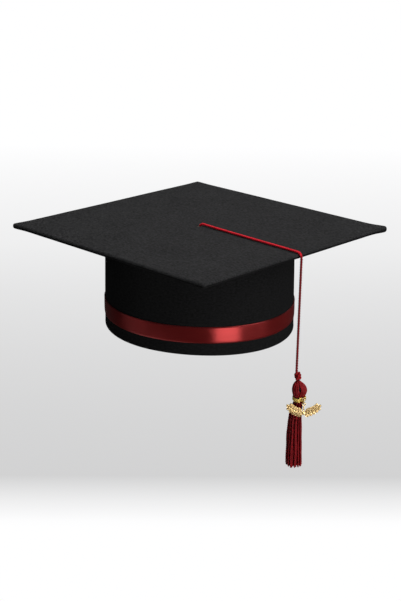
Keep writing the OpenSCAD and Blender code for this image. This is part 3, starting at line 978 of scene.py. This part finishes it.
def make_lining():
    lo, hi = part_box("crown_lining")
    inner = LINING_R - 0.45 * MM
    t = np.linspace(0, 1, 26)
    z = lo.z + (hi.z - lo.z) * t
    section = np.array(list(zip(np.full(26, inner), z))
                       + list(zip(np.full(26, inner + 0.35 * MM), z[::-1])))

    def bulge(a, part):
        fold = np.array([wave_round(a, h * 0.18, 120, 7) for h in part[:, 1]])
        loose = np.sin(np.pi * np.clip((part[:, 1] - lo.z) / (hi.z - lo.z), 0, 1))
        return -0.5 * MM * loose * (0.5 + 0.5 * fold)

    shape = Shape()
    shape.skin(revolve(section, full_turn(360), bulge), ring=True)
    return piece(shape, "lining", [LINING_CLOTH], "cap", ("crown_lining",))


def make_tip():
    """The disc of lining under the board, drawn up a little at its edge."""
    lo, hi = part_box("crown_tip")
    radii = np.linspace(1.6 * MM, LINING_R - 0.1 * MM, 34)
    section = [(r, hi.z - 0.12 * MM) for r in radii]
    section += [(r, lo.z + 0.2 * MM) for r in radii[::-1]]
    rows = []
    for a in full_turn(300):
        part = []
        for r, z in section:
            share = r / LINING_R
            fold = noise.noise(Vector((math.cos(a) * 14, math.sin(a) * 14, r * 6)))
            drop = (0.1 + 0.1 * fold) * share ** 3 * MM
            part.append((r * math.cos(a), r * math.sin(a), z - drop))
        rows.append(part)
    shape = Shape()
    shape.skin(rows, ring=True)
    return piece(shape, "tip_lining", [TIP_CLOTH], "cap", ("crown_tip",))


def make_elastic():
    lo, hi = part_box("elastic_band")
    r_in, r_out = BAND_R + 0.03 * MM, LINING_R - 0.03 * MM
    t = np.linspace(0, 1, 33)
    out = r_out - 0.16 * MM * (0.5 + 0.5 * np.cos(t * TAU * 8))
    section = list(zip(out, lo.z + (hi.z - lo.z) * t)) + [(r_in, hi.z), (r_in, lo.z)]
    shape = Shape()
    shape.skin(revolve(section, BACK + np.radians(np.linspace(-40, 40, 80))))
    return piece(shape, "elastic_tape", [ELASTIC], "cap", ("elastic_band",))


# ---- Making everything

cord = make_cord()
tassel_knot = make_tassel_knot()
bulb = make_bulb()
wrap = make_wrap()
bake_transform(cord)

make_anchor_knot()
make_neck()
make_skirt()
make_charm()
top = make_board_cover("board_top_cloth", 1, BOARD_CLOTH, "board_top_cover")
under = make_board_cover("board_under_cloth", -1, SHADED_UNDER_CLOTH, "board_bottom_cover")
crown = make_crown()
ribbon = make_ribbon()
lap = make_ribbon_lap()
ribbon_sewing = make_ribbon_stitches()
crown_sewing = make_crown_sewing()
seam = make_back_seam()
band = make_sweatband()
band_sewing = make_band_sewing()
lining = make_lining()
tip = make_tip()
elastic = make_elastic()

for node, material in (("board_core", CARD), ("crown_stiffener", BUCKRAM),
                       ("anchor_washer", WASHER), ("jump_ring", WIRE)):
    data = frame["nodes"][node].data
    data.materials.clear()
    data.materials.append(material)

# ---- Floor, lights


STAGE_R = 14.0
FLOOR_Z = -2.0


def make_stage():
    """A pale floor that runs up into a pale wall all round. It glows by itself, takes no shadow
    and throws no light on the cap."""
    p = Paint("stage")
    tree = p.tree
    tree.nodes.remove(p.shader)
    at = p.add("TexCoord").outputs["Object"]
    y = p.add("SeparateXYZ", {0: at}).outputs[1]
    # Painted light: the glow is painted darker in a band from about 3.3 m behind the cap, brightening
    # to white again by about 10 m, a painted fall of light across the floor and wall.
    share = p.math("MULTIPLY", y, 1 / STAGE_R)
    ramp = p.add("ValToRGB", {0: share})
    stops = ramp.color_ramp.elements
    for behind, grey in ((3.1, 1.0), (3.3, 0.84), (3.5, 0.645), (4.1, 0.67), (4.9, 0.716),
                         (5.85, 0.78), (6.9, 0.863), (9.2, 0.955), (10.2, 1.0)):
        stop = stops.new(behind / STAGE_R)
        stop.color = (grey, grey, grey * 1.005, 1)
    stops.remove(stops[0])
    stops.remove(stops[-1])
    glow = p.add("Emission", {"Color": ramp.outputs[0], "Strength": 1.0})
    p.put(tree.nodes["Material Output"].inputs["Surface"], glow.outputs[0])
    profile = [(STAGE_R * t, FLOOR_Z) for t in np.linspace(0.001, 0.8, 8)]
    profile += [(STAGE_R * (0.8 + 0.2 * math.sin(a)), FLOOR_Z + STAGE_R * 0.2 * (1 - math.cos(a)))
                for a in np.radians(np.linspace(15, 90, 6))]
    profile += [(STAGE_R, 6.0), (STAGE_R * 0.9, 9.0), (STAGE_R * 0.5, 12.0), (0.01, 13.0)]
    rows = [[(r * math.cos(a), r * math.sin(a), z) for a in np.arange(48) * TAU / 48]
            for r, z in profile]
    shape = Shape()
    shape.skin(rows)
    mesh = bpy.data.meshes.new("floor")
    mesh.from_pydata(shape.points, [], shape.faces)
    mesh.materials.append(p.material)
    floor = bpy.data.objects.new("floor", mesh)
    bpy.context.scene.collection.objects.link(floor)
    for ray in ("visible_diffuse", "visible_glossy", "visible_shadow", "visible_transmission"):
        setattr(floor, ray, False)


def area_light(name, azimuth, elevation, distance, width, height, power):
    """A softbox that faces the cap. Azimuth 0 is in front, and 90 is to the right."""
    a, e = math.radians(azimuth), math.radians(elevation)
    way = Vector((math.sin(a) * math.cos(e), -math.cos(a) * math.cos(e), math.sin(e)))
    data = bpy.data.lights.new(name, "AREA")
    data.shape, data.size, data.size_y = "RECTANGLE", width, height
    data.energy = power
    light = bpy.data.objects.new(name, data)
    bpy.context.scene.collection.objects.link(light)
    light.location = Vector((0, 0, 0.04)) + way * distance
    light.rotation_euler = way.to_track_quat("Z", "Y").to_euler()
    light.visible_camera = False


def make_lights():
    area_light("overhead", 0, 88, 1.6, 1.2, 1.2, 30)
    area_light("key", 30, -12, 1.7, 0.84, 0.8, 16.5)
    area_light("side_right", 66, 30, 1.7, 1.0, 1.2, 14)
    area_light("fill_left", -80, 15, 1.7, 1.2, 1.6, 2.8)
    area_light("from_below", -80, -60, 1.7, 1.4, 1.4, 5)
    area_light("rim_back", 170, 35, 1.9, 1.6, 1.0, 6)
    world = bpy.data.worlds.new("world")
    world.use_nodes = True
    world.node_tree.nodes["Background"].inputs[0].default_value = (1, 1, 1, 1)
    world.node_tree.nodes["Background"].inputs[1].default_value = 0.025
    bpy.context.scene.world = world
    bpy.context.scene.view_settings.view_transform = "Standard"


make_stage()
make_lights()
